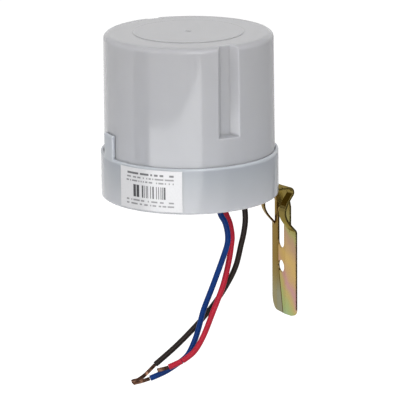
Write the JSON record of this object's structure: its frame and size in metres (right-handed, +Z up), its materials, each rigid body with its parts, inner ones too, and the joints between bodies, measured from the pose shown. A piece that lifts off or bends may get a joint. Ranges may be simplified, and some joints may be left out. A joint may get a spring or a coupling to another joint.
{
  "type": "photocell switch",
  "caption": "Drum-shaped dusk-to-dawn photocell switch in translucent white plastic, with insulated flying leads and a stamped bracket with slot, strap loop and fixing hole.",
  "frame": {"origin": "centre of the bracket's fixing hole, on the bracket's outer face", "axes": "+X out of the bracket, away from the housing, along the fixing hole; +Z up along the housing's axis"},
  "size_m": [0.0916, 0.082, 0.1661],
  "materials": {
    "cap_plastic": "translucent white moulding, semi-gloss",
    "base_plastic": "white moulding, semi-gloss",
    "seal_rubber": "soft black foam rubber",
    "label_paper": "matt coated paper sticker",
    "board_laminate": "brown paper laminate",
    "screw_steel": "zinc-plated steel",
    "relay_case": "black moulded case",
    "film_case": "yellow potted box",
    "can_sleeve": "dark shrunk sleeve",
    "varistor_coat": "blue dipped coat",
    "sensor_ceramic": "ceramic disc under clear lacquer",
    "transistor_case": "black moulded case",
    "diode_case": "black moulded case",
    "zener_glass": "amber glass bead",
    "resistor_coat": "beige lacquer",
    "zinc_plate": "yellow chromated zinc on pressed steel",
    "bolt_steel": "zinc-plated steel",
    "nut_steel": "zinc-plated steel",
    "washer_steel": "phosphated spring steel",
    "bush_rubber": "black rubber",
    "blue_pvc": "soft blue insulation",
    "red_pvc": "soft red insulation",
    "black_pvc": "soft black insulation",
    "copper_strands": "browned copper strands"
  },
  "bodies": {
    "root": {"cap": "cap_plastic", "base": "base_plastic", "seal_ring": "seal_rubber", "label": "label_paper", "circuit_board": "board_laminate", "board_screws": "screw_steel", "relay": "relay_case", "film_capacitor": "film_case", "electrolytic_capacitor": "can_sleeve", "varistor": "varistor_coat", "light_sensor": "sensor_ceramic", "transistor": "transistor_case", "rectifier_diodes": "diode_case", "zener_diode": "zener_glass", "resistors": "resistor_coat", "bracket": "zinc_plate", "bracket_screw": "bolt_steel", "bracket_nut": "nut_steel", "spring_washer": "washer_steel", "lead_bushes": "bush_rubber", "blue_lead": "blue_pvc", "red_lead": "red_pvc", "black_lead": "black_pvc", "blue_strands": "copper_strands", "red_strands": "copper_strands", "black_strands": "copper_strands", "red_sleeve": "red_pvc"}
  },
  "joints": []
}
